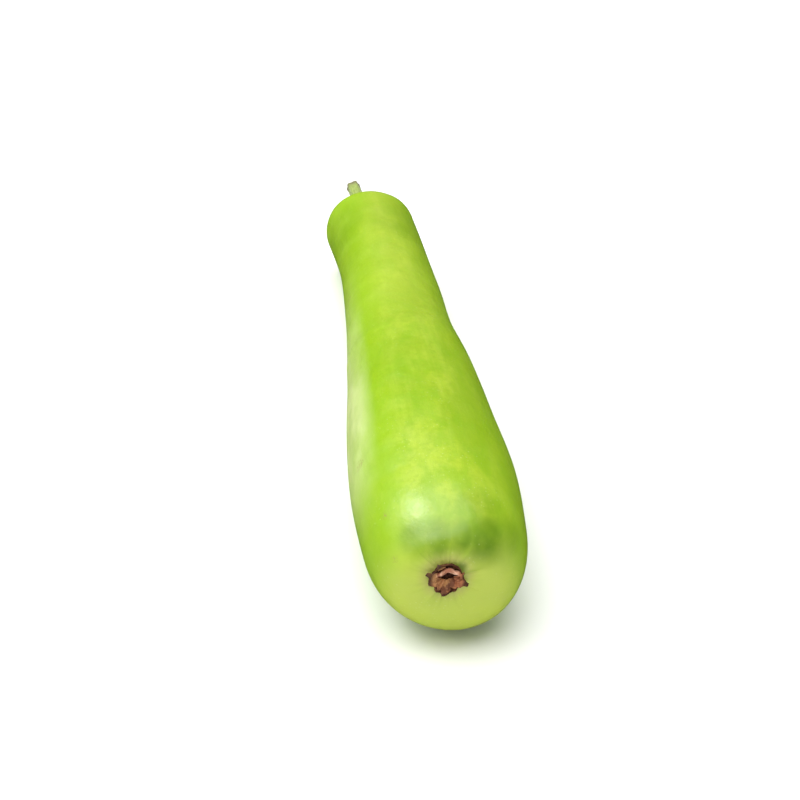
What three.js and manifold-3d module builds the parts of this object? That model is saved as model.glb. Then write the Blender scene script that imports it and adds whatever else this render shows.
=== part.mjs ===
// A long, club-shaped bottle gourd lying on its side, with its cut stem and the dried remains of its flower.
// Millimetres, +Z up. The blossom end faces -Y and the stem end +Y.
// The gourd rests on its belly and on the underside of its head, at z = 0.
// The origin is on that surface, under the middle of the whole.

import * as THREE from "three";
import { mergeVertices } from "three/addons/utils/BufferGeometryUtils.js";
import Module from "manifold-3d";

// Driving dimensions. Places along the fruit are shares of its length, counted from the blossom end.
const FRUIT_LENGTH = 424.5;
const BELLY_RADIUS = 43;
const STEM_LENGTH = 56;
const STEM_RADIUS = 4.1;
const SCAR_RADIUS = 8.2;

// The radius along the fruit, as [place, share of the belly radius].
const GIRTH = [
  [0, 0.85],
  [0.08, 0.94],
  [0.2, 1],
  [0.34, 0.935],
  [0.46, 0.838],
  [0.58, 0.732],
  [0.7, 0.695],
  [0.82, 0.66],
  [0.92, 0.67],
  [1, 0.69],
];

// How far the middle of each section lies to the right of the line between the ends, as [place, distance].
// The fruit also arches upwards by ARCH at its middle, so its blossom end lies low.
const DRIFT = [
  [0, 2.2],
  [0.15, 1.8],
  [0.3, 2.4],
  [0.45, 4.7],
  [0.58, 3.9],
  [0.72, 5.2],
  [0.85, 5.8],
  [1, 2.4],
];
const ARCH = 5;

// The flower's scar lies to the left of the blossom end's middle, and above it.
const SCAR_OFFSET = { x: -4.7, z: 9, spread: 27 };

// Both ends are blunt: the radius rises from the tip over this length, steeply at first.
const BLOSSOM_END = { length: 42, blunt: 3, round: 2.35 };
const STEM_END = { length: 17, blunt: 3.0, round: 2.1 };

// The skin dips round the flower's scar, and more round the stem.
const SCAR_DIP = { depth: 1.6, radius: 13 };
const STEM_DIP = { depth: 6, radius: 10 };

// Slow unevenness: an oval section, and three broad waves that wind round the fruit.
const OVAL = { share: 0.02, turn: -0.8 };
const WAVES = { height: 0.6, around: 3, pitch: 190, turn: 4.4 };

// Furrows run from the stem over the shoulders, between lobes of unequal width.
const FURROWS = { count: 6, depth: 1.8, sharp: 5, rim: 11, reach: 15, uneven: 0.42, turn: 0.9 };

// Faint puckers run out from the scar.
const PUCKERS = { count: 11, depth: 0.35, rim: 12, reach: 9 };

// The stem's centre line leaves the fruit along its axis and then bends to the left and up.
const STEM_BEND = { left: 5.5, up: 8.5 };
const STEM_ROOT = 4;
const STEM_RIDGES = { count: 5, height: 0.09, flare: 0.16 };
const STEM_GIRTH = [
  [0, 1.3],
  [0.06, 1.65],
  [0.14, 1.5],
  [0.3, 1.12],
  [0.6, 1],
  [0.9, 1],
  [1, 1.08],
];
const CUT_HOLLOW = { depth: 0.8, share: 0.62 };

// The dried flower: a crinkled plug in a torn ring.
// Each tear is [angle in degrees, how far its point reaches].
const TEARS = [
  [4, 0.5],
  [43, 0.4],
  [75, 0.9],
  [110, 1.7],
  [134, 0.6],
  [160, 2],
  [199, 1.1],
  [230, 1.1],
  [264, 1.7],
  [298, 0.8],
  [341, 2.3],
];
const TEAR_HALF_WIDTH = 11;
const RING_HEIGHT = 2.3;
const PLUG_HEIGHT = 0.9;
const SCAR_ROOT = 1.8;

// The ring's outside where it meets the skin and at its root, as shares of the scar's radius.
const RING_FOOT = 0.94;
const RING_ROOT = 0.9;

// The hollow that the dried flower is rooted in is cut this far out past the skin.
const SEAT_LENGTH = 12;

// A gap keeps neighbouring pieces apart, and a shallow cut makes the two flat spots that the gourd rests on.
const GAP = 0.3;
const FLAT_DEPTH = 0.8;
const TILT_ROUNDS = 5;

// How finely each surface is divided, along and around.
const FRUIT_GRID = { along: 58, around: 60 };
const STEM_GRID = { along: 18, around: 30 };
const SCAR_GRID = { around: 72 };

// How much the fruit's rings crowd towards its ends: 0 spaces them evenly, 1 packs them closest.
const CROWDING = 0.98;

const COLOURS = { skin: 0xa9cf46, stalk: 0xa3b454, dry: 0x7a4a34 };

const wasm = await Module();
wasm.setup();

// A smooth curve through [place, value] pairs: cubic, with each slope taken from the neighbouring pairs.
function smooth(pairs, place) {
  const last = pairs.length - 1;
  const after = pairs.findIndex(([at]) => at > place);
  const i = after < 0 ? last - 1 : Math.max(after - 1, 0);
  const slope = (k) => {
    const [a, b] = [pairs[Math.max(k - 1, 0)], pairs[Math.min(k + 1, last)]];
    return (b[1] - a[1]) / (b[0] - a[0]);
  };
  const [[p0, v0], [p1, v1]] = [pairs[i], pairs[i + 1]];
  const span = p1 - p0;
  const t = Math.min(Math.max((place - p0) / span, 0), 1);
  const rise = v1 - v0;
  const [m0, m1] = [slope(i) * span, slope(i + 1) * span];
  return v0 + t * (m0 + t * (3 * rise - 2 * m0 - m1 + t * (m0 + m1 - 2 * rise)));
}

// 1 within the rim, fading to 0 outside it over about the reach.
function fade(distance, rim, reach) {
  return Math.exp(-((Math.max(distance - rim, 0) / reach) ** 2));
}

// How full an end is at this distance from its tip: 0 at the tip, 1 past its length.
function fullness(distance, end) {
  const left = Math.max(1 - distance / end.length, 0);
  return Math.max(1 - left ** end.blunt, 0) ** (1 / end.round);
}

// The fruit's outline before any unevenness: [distance along the axis, radius].
// t runs from 0 at the scar to 1 at the stem. Steps in t are short near the ends, where the outline turns.
function fruitOutline(t) {
  const share = t - (CROWDING * Math.sin(2 * Math.PI * t)) / (2 * Math.PI);
  const along = share * FRUIT_LENGTH;
  const full = fullness(along, BLOSSOM_END) * fullness(FRUIT_LENGTH - along, STEM_END);
  const radius = BELLY_RADIUS * smooth(GIRTH, share) * full;
  const dip = share < 0.5 ? SCAR_DIP : STEM_DIP;
  const sunk = dip.depth * Math.exp(-((radius / dip.radius) ** 2));
  return [along + (share < 0.5 ? sunk : -sunk), radius];
}

// How far the skin stands out from that outline, at this distance along, radius and angle.
function relief(along, radius, angle) {
  const { count, depth, sharp, uneven, turn } = FURROWS;
  const lobeAngle = angle + uneven * Math.sin(angle + turn);
  const furrow = Math.abs(Math.sin((count * lobeAngle) / 2)) ** sharp;
  const fromStem = Math.hypot(radius, FRUIT_LENGTH - along);
  const rising = Math.min(radius / FURROWS.rim, 1) ** 2;
  const furrows = depth * furrow * rising * fade(fromStem, FURROWS.rim, FURROWS.reach);
  const fromScar = Math.hypot(radius, along);
  const pucker = Math.abs(Math.cos((PUCKERS.count * angle) / 2)) ** 3;
  const starting = Math.min(radius / PUCKERS.rim, 1);
  const puckers = PUCKERS.depth * pucker * starting * fade(fromScar, PUCKERS.rim, PUCKERS.reach);
  const winding = WAVES.around * angle + (2 * Math.PI * along) / WAVES.pitch + WAVES.turn;
  const waves = WAVES.height * Math.sin(winding) * Math.min(radius / BELLY_RADIUS, 1);
  return waves - furrows - puckers;
}

// A point of the fruit's skin, in the fruit's own frame: +Y along it, +X to its right, +Z up.
function fruitPoint(t, angle) {
  const step = 1e-4;
  const [along, radius] = fruitOutline(t);
  const [a0, r0] = fruitOutline(Math.max(t - step, 0));
  const [a1, r1] = fruitOutline(Math.min(t + step, 1));
  const slant = Math.hypot(a1 - a0, r1 - r0);
  const out = relief(along, radius, angle);
  const y = along - (out * (r1 - r0)) / slant;
  const oval = 1 + OVAL.share * Math.cos(2 * (angle - OVAL.turn));
  const r = (radius + (out * (a1 - a0)) / slant) * oval;
  const place = y / FRUIT_LENGTH;
  const offset = place < 0.5 ? Math.exp(-((radius / SCAR_OFFSET.spread) ** 4)) : 0;
  const x = smooth(DRIFT, place) + offset * SCAR_OFFSET.x + r * Math.cos(angle);
  const z = offset * SCAR_OFFSET.z + 4 * ARCH * place * (1 - place) + r * Math.sin(angle);
  return new THREE.Vector3(x, y, z);
}

const SCAR_CENTRE = fruitPoint(0, 0);
const STEM_START = new THREE.Vector3(smooth(DRIFT, 1), FRUIT_LENGTH - STEM_DIP.depth - STEM_ROOT, 0);
const STEM_LINE = new THREE.CubicBezierCurve3(
  STEM_START,
  STEM_START.clone().add(new THREE.Vector3(0, STEM_LENGTH * 0.36, 0)),
  STEM_START.clone().add(new THREE.Vector3(-STEM_BEND.left * 0.3, STEM_LENGTH * 0.7, STEM_BEND.up * 0.3)),
  STEM_START.clone().add(new THREE.Vector3(-STEM_BEND.left, STEM_LENGTH, STEM_BEND.up)),
);

// A point of the stem's skin: t from 0 at its root to 1 at the cut, grown outwards by a margin.
function stemPoint(t, angle, margin) {
  const centre = STEM_LINE.getPoint(t);
  const ahead = STEM_LINE.getTangent(t);
  const right = new THREE.Vector3().crossVectors(ahead, new THREE.Vector3(0, 0, 1)).normalize();
  const up = new THREE.Vector3().crossVectors(right, ahead);
  const swell = smooth(STEM_GIRTH, t);
  const ridge = STEM_RIDGES.height + STEM_RIDGES.flare * Math.max(swell - 1, 0);
  const radius = STEM_RADIUS * swell * (1 + ridge * Math.cos(STEM_RIDGES.count * angle)) + margin;
  centre.addScaledVector(right, radius * Math.cos(angle));
  return centre.addScaledVector(up, radius * Math.sin(angle));
}

// How far the torn ring reaches past its mean radius at this angle.
function tear(angle) {
  const degrees = THREE.MathUtils.radToDeg(angle);
  const reaches = TEARS.map(([at, reach]) => {
    const apart = Math.abs(((degrees - at + 540) % 360) - 180);
    return reach * Math.max(1 - apart / TEAR_HALF_WIDTH, 0);
  });
  return Math.max(...reaches);
}

// One spoke of the dried flower, from the middle of the plug over the ring to the middle of its underside.
// Each entry is [distance from the axis, height above the skin].
function scarSpoke(angle) {
  const reach = tear(angle);
  const crinkle = 0.35 * Math.sin(7 * angle + 1) + 0.25 * Math.sin(12 * angle);
  const lip = RING_HEIGHT + 0.5 * Math.sin(3 * angle + 0.8) + 0.3 * reach;
  return [
    [SCAR_RADIUS * 0.22, PLUG_HEIGHT + 0.5 * crinkle],
    [SCAR_RADIUS * 0.46, PLUG_HEIGHT + crinkle],
    [SCAR_RADIUS * 0.62, PLUG_HEIGHT * 0.7 + crinkle],
    [SCAR_RADIUS * 0.7, -0.5],
    [SCAR_RADIUS * 0.77, -0.4],
    [SCAR_RADIUS * 0.84, lip * 0.7],
    [SCAR_RADIUS * 0.97, lip],
    [SCAR_RADIUS + 0.2 + reach, lip - 0.1],
    [SCAR_RADIUS + 0.1 + 0.7 * reach, lip - 0.8],
    [SCAR_RADIUS * RING_FOOT, 1],
    [SCAR_RADIUS * RING_ROOT, -SCAR_ROOT],
  ];
}

// A closed skin over rings of points, with each end drawn together in one point.
// The rings turn so that the skin faces out.
function skinOver(rings, first, last) {
  const around = rings[0].length;
  const points = [first, ...rings.flat(), last];
  const at = (ring, side) => 1 + ring * around + (side % around);
  const faces = [];
  for (let side = 0; side < around; side++) {
    faces.push(0, at(0, side), at(0, side + 1));
    faces.push(points.length - 1, at(rings.length - 1, side + 1), at(rings.length - 1, side));
    for (let ring = 0; ring + 1 < rings.length; ring++) {
      const [a, b, c, d] = [at(ring, side), at(ring, side + 1), at(ring + 1, side), at(ring + 1, side + 1)];
      faces.push(a, c, d, a, d, b);
    }
  }
  return new THREE.BufferGeometry().setFromPoints(points).setIndex(faces);
}

function solidOf(geometry) {
  const bare = new THREE.BufferGeometry().setAttribute("position", geometry.getAttribute("position"));
  bare.setIndex(geometry.index);
  const merged = mergeVertices(bare, 1e-4);
  return new wasm.Manifold(
    new wasm.Mesh({
      numProp: 3,
      vertProperties: merged.getAttribute("position").array,
      triVerts: new Uint32Array(merged.index.array),
    }),
  );
}

function geometryOf(solid) {
  const mesh = solid.getMesh();
  const geometry = new THREE.BufferGeometry();
  geometry.setAttribute("position", new THREE.BufferAttribute(mesh.vertProperties, 3));
  geometry.setIndex(new THREE.BufferAttribute(mesh.triVerts, 1));
  geometry.computeVertexNormals();
  return geometry;
}

function angles(count) {
  return Array.from({ length: count }, (_, side) => (2 * Math.PI * side) / count);
}

function fruitGeometry() {
  const { along, around } = FRUIT_GRID;
  const rings = [];
  for (let ring = 1; ring < along; ring++) {
    rings.push(angles(around).map((angle) => fruitPoint(ring / along, angle)));
  }
  return skinOver(rings, fruitPoint(0, 0), fruitPoint(1, 0));
}

function stemGeometry(margin) {
  const { along, around } = STEM_GRID;
  const rings = [];
  for (let ring = 0; ring <= along; ring++) {
    rings.push(angles(around).map((angle) => stemPoint(ring / along, angle, margin)));
  }
  const ahead = STEM_LINE.getTangent(1);
  const root = STEM_LINE.getPoint(0);
  const tip = STEM_LINE.getPoint(1);
  if (margin > 0) {
    root.y -= margin;
    rings[0].forEach((point) => (point.y -= margin));
    return skinOver(rings, root, tip);
  }
  const floor = tip.clone().addScaledVector(ahead, -CUT_HOLLOW.depth);
  rings.push(rings[along].map((point) => point.clone().lerp(tip, 1 - CUT_HOLLOW.share)));
  rings.push(rings[along].map((point) => point.clone().lerp(tip, 1 - CUT_HOLLOW.share * 0.8)));
  rings.at(-1).forEach((point) => point.addScaledVector(ahead, -CUT_HOLLOW.depth));
  return skinOver(rings, root, floor);
}

// The dried flower faces -Y, so heights above the skin are distances towards -Y.
function scarGeometry() {
  const spokes = angles(SCAR_GRID.around).map((angle) => {
    const [right, up] = [Math.cos(angle), Math.sin(angle)];
    return scarSpoke(angle).map(([out, height]) => new THREE.Vector3(out * right, -height, out * up));
  });
  const rings = spokes[0].map((_, ring) => spokes.map((spoke) => spoke[ring]));
  const middle = new THREE.Vector3(0, -PLUG_HEIGHT, 0);
  return skinOver(rings, middle, new THREE.Vector3(0, SCAR_ROOT, 0));
}

// The hollow in the fruit that the dried flower is rooted in.
function scarSeat() {
  const [mouth, root] = [SCAR_RADIUS * RING_FOOT + GAP, SCAR_RADIUS * RING_ROOT + GAP];
  const seat = new THREE.CylinderGeometry(mouth, root, SEAT_LENGTH, SCAR_GRID.around);
  seat.translate(0, SEAT_LENGTH / 2, 0).rotateZ(Math.PI);
  return seat.translate(SCAR_CENTRE.x, SCAR_CENTRE.y + SCAR_ROOT + GAP, SCAR_CENTRE.z);
}

// The tilt at which the belly and the head touch the surface together, found by tilting until they do.
function restingTilt(geometry) {
  const position = geometry.getAttribute("position");
  const sideways = new THREE.Vector3(1, 0, 0);
  let tilt = 0;
  for (let round = 0; round < TILT_ROUNDS; round++) {
    const lowest = [null, null];
    for (let i = 0; i < position.count; i++) {
      const point = new THREE.Vector3().fromBufferAttribute(position, i).applyAxisAngle(sideways, tilt);
      const half = point.y < FRUIT_LENGTH / 2 ? 0 : 1;
      if (!lowest[half] || point.z < lowest[half].z) {
        lowest[half] = point;
      }
    }
    const [belly, head] = lowest;
    tilt -= Math.atan2(head.z - belly.z, head.y - belly.y);
  }
  return tilt;
}

function piece(name, geometry, color, roughness) {
  const mesh = new THREE.Mesh(geometry, new THREE.MeshStandardMaterial({ color, roughness, metalness: 0 }));
  mesh.name = name;
  return mesh;
}

// The gourd, built straight in its own frame, then tilted to rest and moved over the origin.
const whole = fruitGeometry();
const gourd = new THREE.Group();
gourd.rotation.x = restingTilt(whole);
gourd.updateMatrixWorld(true);
const tilted = whole.clone().applyMatrix4(gourd.matrixWorld);
tilted.computeBoundingBox();
gourd.position.z = -tilted.boundingBox.min.z - FLAT_DEPTH;
gourd.updateMatrixWorld(true);

const below = new THREE.BoxGeometry(4 * BELLY_RADIUS, 2 * FRUIT_LENGTH, BELLY_RADIUS);
below.translate(0, FRUIT_LENGTH / 2, -BELLY_RADIUS / 2).applyMatrix4(gourd.matrixWorld.clone().invert());
const cuts = [stemGeometry(GAP), scarSeat(), below];
const fruit = cuts.reduce((solid, cut) => solid.subtract(solidOf(cut)), solidOf(whole));

const flower = piece("blossom_remnant", scarGeometry(), COLOURS.dry, 0.9);
flower.position.copy(SCAR_CENTRE);
gourd.add(
  piece("fruit", geometryOf(fruit), COLOURS.skin, 0.42),
  piece("stem", stemGeometry(0), COLOURS.stalk, 0.7),
  flower,
);
gourd.updateMatrixWorld(true);

const box = new THREE.Box3().setFromObject(gourd, true);
gourd.position.x = -(box.min.x + box.max.x) / 2;
gourd.position.y = -(box.min.y + box.max.y) / 2;

const bottleGourd = new THREE.Group();
bottleGourd.add(gourd);

export default bottleGourd;
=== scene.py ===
"""A long bottle gourd on a pale floor: waxy green skin, a ridged stem and a dry flower scar."""

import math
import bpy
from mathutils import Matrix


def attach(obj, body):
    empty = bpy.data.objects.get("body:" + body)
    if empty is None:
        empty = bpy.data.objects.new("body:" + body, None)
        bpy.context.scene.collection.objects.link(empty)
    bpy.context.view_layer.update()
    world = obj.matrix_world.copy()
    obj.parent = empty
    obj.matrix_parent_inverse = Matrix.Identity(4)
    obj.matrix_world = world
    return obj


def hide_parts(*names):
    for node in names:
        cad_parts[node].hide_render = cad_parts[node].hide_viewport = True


bl_info = {
    "name": "Bottle gourd",
    "version": (1, 0, 0),
    "blender": (4, 5, 0),
    "location": "View3D > Sidebar > Gourd",
    "description": "Models a long bottle gourd lying on its side, and the studio it is seen in",
    "category": "Add Mesh",
}

import bmesh
import bpy
from mathutils import Matrix, Vector, noise

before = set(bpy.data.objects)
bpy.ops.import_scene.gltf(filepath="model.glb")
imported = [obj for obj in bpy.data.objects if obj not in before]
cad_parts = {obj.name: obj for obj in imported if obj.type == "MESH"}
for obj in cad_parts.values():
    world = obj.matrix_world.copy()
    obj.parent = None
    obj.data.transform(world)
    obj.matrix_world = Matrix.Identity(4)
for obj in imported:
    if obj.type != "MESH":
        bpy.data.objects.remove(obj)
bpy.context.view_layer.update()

MM = 0.001

# The noise that crumples the dry flower starts from this seed, so that each run gives the same.
NOISE_SEED = 3

# How near points count as one when they are merged, and as on the floor when it cuts them.
MERGE_WITHIN = 1e-7
CUT_WITHIN = 1e-6

# Faces that meet at more than this angle keep a sharp edge between them.
STEM_EDGE = math.radians(50)
PAPER_EDGE = math.radians(40)

# Where the gourd's own frame lies: its blossom tip, and the tilt at which belly and head
# rest on the floor together. In that frame the fruit grows along +Y from its blossom end.
TIP = Vector((-2.278, -235.312, 42.339)) * MM
REST_TILT = math.radians(-2.008)

# The outline along the fruit, as (share of the length from the blossom end, share of the
# belly's radius).
GIRTH = (
    (0, 0.85),
    (0.08, 0.94),
    (0.2, 1),
    (0.34, 0.935),
    (0.46, 0.838),
    (0.58, 0.732),
    (0.7, 0.695),
    (0.82, 0.66),
    (0.92, 0.67),
    (1, 0.69),
)

# How far each section's middle lies to the right of the line between the ends, as (share of
# the length, mm), and how far the middle of the fruit rises above that line, in mm.
DRIFT = (
    (0, 2.2),
    (0.15, 1.8),
    (0.3, 2.4),
    (0.45, 4.7),
    (0.58, 3.9),
    (0.72, 5.2),
    (0.85, 5.8),
    (1, 2.4),
)
ARCH = 5

# The fruit's rings, and how strongly they crowd towards both ends, from 0 (evenly) to 1.
FRUIT_RINGS = 130
FRUIT_SIDES = 144
CROWDING = 0.98

# Both ends are blunt: (length over which the radius rises in mm, how steeply, how rounded).
BLOSSOM_END = (42, 3, 2.35)
STEM_END = (17, 3, 2.1)

# The skin dips round the scar and round the stem: (depth, radius), in mm.
SCAR_DIP = (1.6, 13)
STEM_DIP = (6, 10)

# The scar lies to the left of the blossom end's middle and above it: (left, up, spread), in mm.
SCAR_OFFSET = (-4.7, 9, 27)
SCAR_CENTRE = Vector((DRIFT[0][1] + SCAR_OFFSET[0], SCAR_DIP[0], SCAR_OFFSET[1])) * MM

# How oval each section is: (share of the radius, direction of its long axis in radians).
OVAL = (0.02, -0.8)

# Slow waves of the skin, the furrows over the shoulders and the puckers round the scar.
# Lengths are in mm, turns in radians.
WAVES = {"height": 0.6, "around": 3, "pitch": 190, "turn": 4.4}
FURROWS = {
    "count": 6,
    "depth": 1.8,
    "sharp": 5,
    "rim": 11,
    "reach": 15,
    "uneven": 0.42,
    "turn": 0.9,
}
PUCKERS = {"count": 11, "depth": 0.35, "sharp": 3, "rim": 12, "reach": 9}

# The stem's thickness along it, as (share of its length, share of its radius).
STEM_GIRTH = ((0, 1.3), (0.06, 1.65), (0.14, 1.5), (0.3, 1.12), (0.6, 1), (0.9, 1), (1, 1.08))
STEM_RINGS = 70
STEM_SIDES = 80

# How far the cut end bends aside and up, and how deep the root is sunk into the fruit, in mm.
STEM_BEND = Vector((-5.5, 0, 8.5)) * MM
STEM_ROOT = 4

# Control points of the stem's centre line, as (share of its length, share of its bend).
STEM_LINE = ((0.36, 0), (0.7, 0.3), (1, 1))

# The hollowed cut end, ring by ring, as (mm past the end, share of the end's radius).
STEM_HOLLOW = ((0.15, 0.93), (0, 0.8), (-0.6, 0.45), (-1.1, 0.3))
STEM_HOLLOW_DEPTH = 1.2

# Ridges along the stem: how many and how high, and how much higher where it flares. Finer
# ribs lie over them, and knots. Heights are shares of the stem's radius.
STEM_RIDGES = {"count": 5, "height": 0.09, "flare": 0.16}
STEM_RIBS = {"count": 17, "height": 0.02, "twist": 9}
STEM_KNOTS = {"height": 0.03, "per_metre": 600, "stretch": 0.3}

# The dry flower from its middle outwards, as (share of the scar's radius, height in mm).
FLOWER_PROFILE = (
    (0.12, 0.9),
    (0.22, 0.9),
    (0.34, 0.9),
    (0.46, 0.9),
    (0.54, 0.8),
    (0.62, 0.8),
    (0.67, 0.7),
    (0.72, 0.7),
    (0.77, 0.8),
    (0.81, 1.1),
    (0.85, 1.7),
    (0.9, 2.1),
    (0.97, 2.3),
    (1.02, 2.2),
    (1.01, 1.5),
    (0.94, 0.9),
    (0.9, -1.8),
)
FLOWER_SIDES = 180

# Where its crinkled middle ends and its torn ring starts, as shares of that radius, and how
# high above the skin's dip the ring stands free, in mm.
FLOWER_MIDDLE = 0.66
FLOWER_RING = 0.86
FLOWER_SKIN = 0.3

# Waves of that middle and of the ring, as (height in mm, count, turn in radians).
FLOWER_CRINKLE = ((0.35, 7, 1), (0.25, 12, 0))
FLOWER_CURL = ((0.5, 3, 0.8),)

# Folds all over it, as (folds per metre, height in mm). The root has none: it starts this
# far under the skin, in mm.
FLOWER_FOLDS = ((700, 0.35), (1890, 0.18))
FLOWER_ROOT = 0.6

# The ring's edge: the share of each point below that it reaches out by, the share by which
# the point curls up, how far the edge wanders in and out, and its mean step back, in mm.
FLOWER_EDGE = {"out": 0.5, "up": 0.3, "wander": 0.9, "back": 0.5}

# The points of the torn ring, as (angle in degrees, how far the point reaches in mm), and
# half the width of a point in degrees.
TEARS = (
    (4, 0.5),
    (43, 0.4),
    (75, 0.9),
    (110, 1.7),
    (134, 0.6),
    (160, 2),
    (199, 1.1),
    (230, 1.1),
    (264, 1.7),
    (298, 0.8),
    (341, 2.3),
)
TEAR_HALF_WIDTH = 11

# The papery petals: their thickness in mm, and how many columns and rows of faces each has.
PAPER_THICKNESS = 0.3
LIP_GRID = (90, 20)
FAN_GRID = (110, 26)
SCRAP_GRID = (16, 8)

# The lip that arches over the dark slit. Angles are in degrees and lengths in mm. The tip is
# the share of its length at each end over which it no longer narrows.
LIP = {
    "start": -8,
    "turn": 188,
    "roll_start": -50,
    "roll_turn": 240,
    "tip": 0.04,
    "thick": 0.85,
    "raised": 1.5,
    "wide": 6.0,
    "high": 4.3,
    "height": 2.3,
}
LIP_WAVES = ((0.35, 5, 0),)
LIP_LIFT = ((0.35, 3, 1),)

# The pleated plate below the slit, in the same units.
FAN = {
    "start": 168,
    "turn": 212,
    "hub": 0.8,
    "reach": 8.1,
    "ragged": 1.3,
    "torn": 0.5,
    "pleats": 6.5,
    "height": 1.7,
    "bulge": 0.9,
    "droop": 0.5,
    "open": 2.4,
}

# Torn scraps, as (angle in degrees, inner and outer end from the scar's middle in mm, width
# in mm).
SCRAPS = (
    (161, 5, 10.8, 6),
    (193, 5, 9.6, 5),
    (339, 5, 10.6, 5.6),
    (256, 5, 9.8, 5),
    (118, 6.6, 9.5, 4.5),
)

# The floor lies a hair below the gourd, so that their faces don't coincide.
FLOOR_PLACE = (0, 2, -0.0002)
FLOOR_COLOUR = (0.95, 0.95, 0.95, 1)
FLOOR_ROUGHNESS = 0.9

# Soft lights, as name: (place, where it points, width and depth in metres, watts).
SOFTBOXES = {
    "overhead": ((-0.2, -0.1, 1.9), (-0.1, -0.05, 0), (2.4, 2.4), 56),
    "left": ((-1.3, 0.1, 1.3), (0, 0, 0.05), (1.6, 1.6), 14),
    "front": ((1.0, -1.5, 1.1), (0, -0.2, 0.05), (1.4, 1.0), 1.5),
    "key": ((-0.82, 0.28, 1.33), (0, -0.2, 0.05), (0.45, 0.45), 15),
}
SENSOR_WIDTH = 36


class GourdSizes(bpy.types.PropertyGroup):
    """Sizes of the gourd and its pieces."""

    fruit_length: bpy.props.FloatProperty(
        name="Fruit length",
        description="From the blossom end to where the stem starts",
        default=0.4245,
        unit="LENGTH",
    )
    belly_radius: bpy.props.FloatProperty(
        name="Belly radius",
        description="Half the width of the fruit where it is thickest",
        default=0.043,
        unit="LENGTH",
    )
    stem_length: bpy.props.FloatProperty(
        name="Stem length",
        description="From the stem's root in the dimple to its cut end",
        default=0.056,
        unit="LENGTH",
    )
    stem_radius: bpy.props.FloatProperty(
        name="Stem radius",
        description="Half the stem's thickness at its middle",
        default=0.0041,
        unit="LENGTH",
    )
    scar_radius: bpy.props.FloatProperty(
        name="Scar radius",
        description="Mean radius of the dry flower's torn ring",
        default=0.0082,
        unit="LENGTH",
    )


class GourdColours(bpy.types.PropertyGroup):
    """Colours of the gourd's finishes."""

    skin: bpy.props.FloatVectorProperty(
        name="Skin",
        description="Lime green of the belly and the neck",
        subtype="COLOR",
        size=3,
        default=(0.375, 0.52, 0.032),
    )
    skin_deep: bpy.props.FloatVectorProperty(
        name="Deep skin",
        description="Deeper green of the mottling and the furrows",
        subtype="COLOR",
        size=3,
        default=(0.24, 0.4, 0.012),
    )
    skin_pale: bpy.props.FloatVectorProperty(
        name="Pale skin",
        description="Paler yellow-green of the blossom end and the flecks",
        subtype="COLOR",
        size=3,
        default=(0.54, 0.65, 0.09),
    )
    stalk: bpy.props.FloatVectorProperty(
        name="Stalk",
        description="Green of the stem",
        subtype="COLOR",
        size=3,
        default=(0.24, 0.33, 0.05),
    )
    dry: bpy.props.FloatVectorProperty(
        name="Dry flower",
        description="Brown of the dried flower",
        subtype="COLOR",
        size=3,
        default=(0.4, 0.165, 0.062),
    )


class GourdStudio(bpy.types.PropertyGroup):
    """The studio round the gourd."""

    floor_size: bpy.props.FloatProperty(
        name="Floor size",
        description="Side of the square floor",
        default=24.0,
        unit="LENGTH",
    )
    lens: bpy.props.FloatProperty(
        name="Lens",
        description="Focal length of the camera in millimetres",
        default=85.0,
    )
    look_down: bpy.props.FloatProperty(
        name="Look down",
        description="How far the camera looks below the horizon",
        default=math.radians(31.62),
        subtype="ANGLE",
    )
    heading: bpy.props.FloatProperty(
        name="Heading",
        description="How far the camera turns to the right of the gourd's length",
        default=math.radians(6.6),
        subtype="ANGLE",
    )
    camera_place: bpy.props.FloatVectorProperty(
        name="Camera place",
        description="Where the camera stands",
        subtype="TRANSLATION",
        size=3,
        default=(-0.10875, -0.93909, 0.58779),
    )
    sky: bpy.props.FloatProperty(
        name="Sky",
        description="Brightness of the even white light from all round",
        default=0.36,
    )


# Curves


def smooth(pairs, place):
    """A smooth curve through (place, value) pairs, its slopes taken from their neighbours."""
    last = len(pairs) - 1
    i = max((k for k in range(last) if pairs[k][0] <= place), default=0)

    def slope(k):
        a, b = pairs[max(k - 1, 0)], pairs[min(k + 1, last)]
        return (b[1] - a[1]) / (b[0] - a[0])

    (p0, v0), (p1, v1) = pairs[i], pairs[i + 1]
    span = p1 - p0
    t = min(max((place - p0) / span, 0), 1)
    rise = v1 - v0
    m0, m1 = slope(i) * span, slope(i + 1) * span
    return v0 + t * (m0 + t * (3 * rise - 2 * m0 - m1 + t * (m0 + m1 - 2 * rise)))


def fade(distance, rim, reach):
    """1 within the rim, fading to 0 outside it over about the reach."""
    return math.exp(-((max(distance - rim, 0) / reach) ** 2))


def fullness(distance, length, blunt, roundness):
    """How full a blunt end is at this distance from its tip, from 0 to 1."""
    left = max(1 - distance / length, 0)
    return max(1 - left**blunt, 0) ** (1 / roundness)


def fruit_outline(t, length, belly):
    """Distance along the fruit and radius in mm, t from 0 at the scar to 1 at the stem."""
    share = t - CROWDING * math.sin(2 * math.pi * t) / (2 * math.pi)
    along = share * length
    full = fullness(along, *BLOSSOM_END) * fullness(length - along, *STEM_END)
    radius = belly * smooth(GIRTH, share) * full
    depth, spread = SCAR_DIP if share < 0.5 else STEM_DIP
    sunk = depth * math.exp(-((radius / spread) ** 2))
    return along + (sunk if share < 0.5 else -sunk), radius


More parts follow.
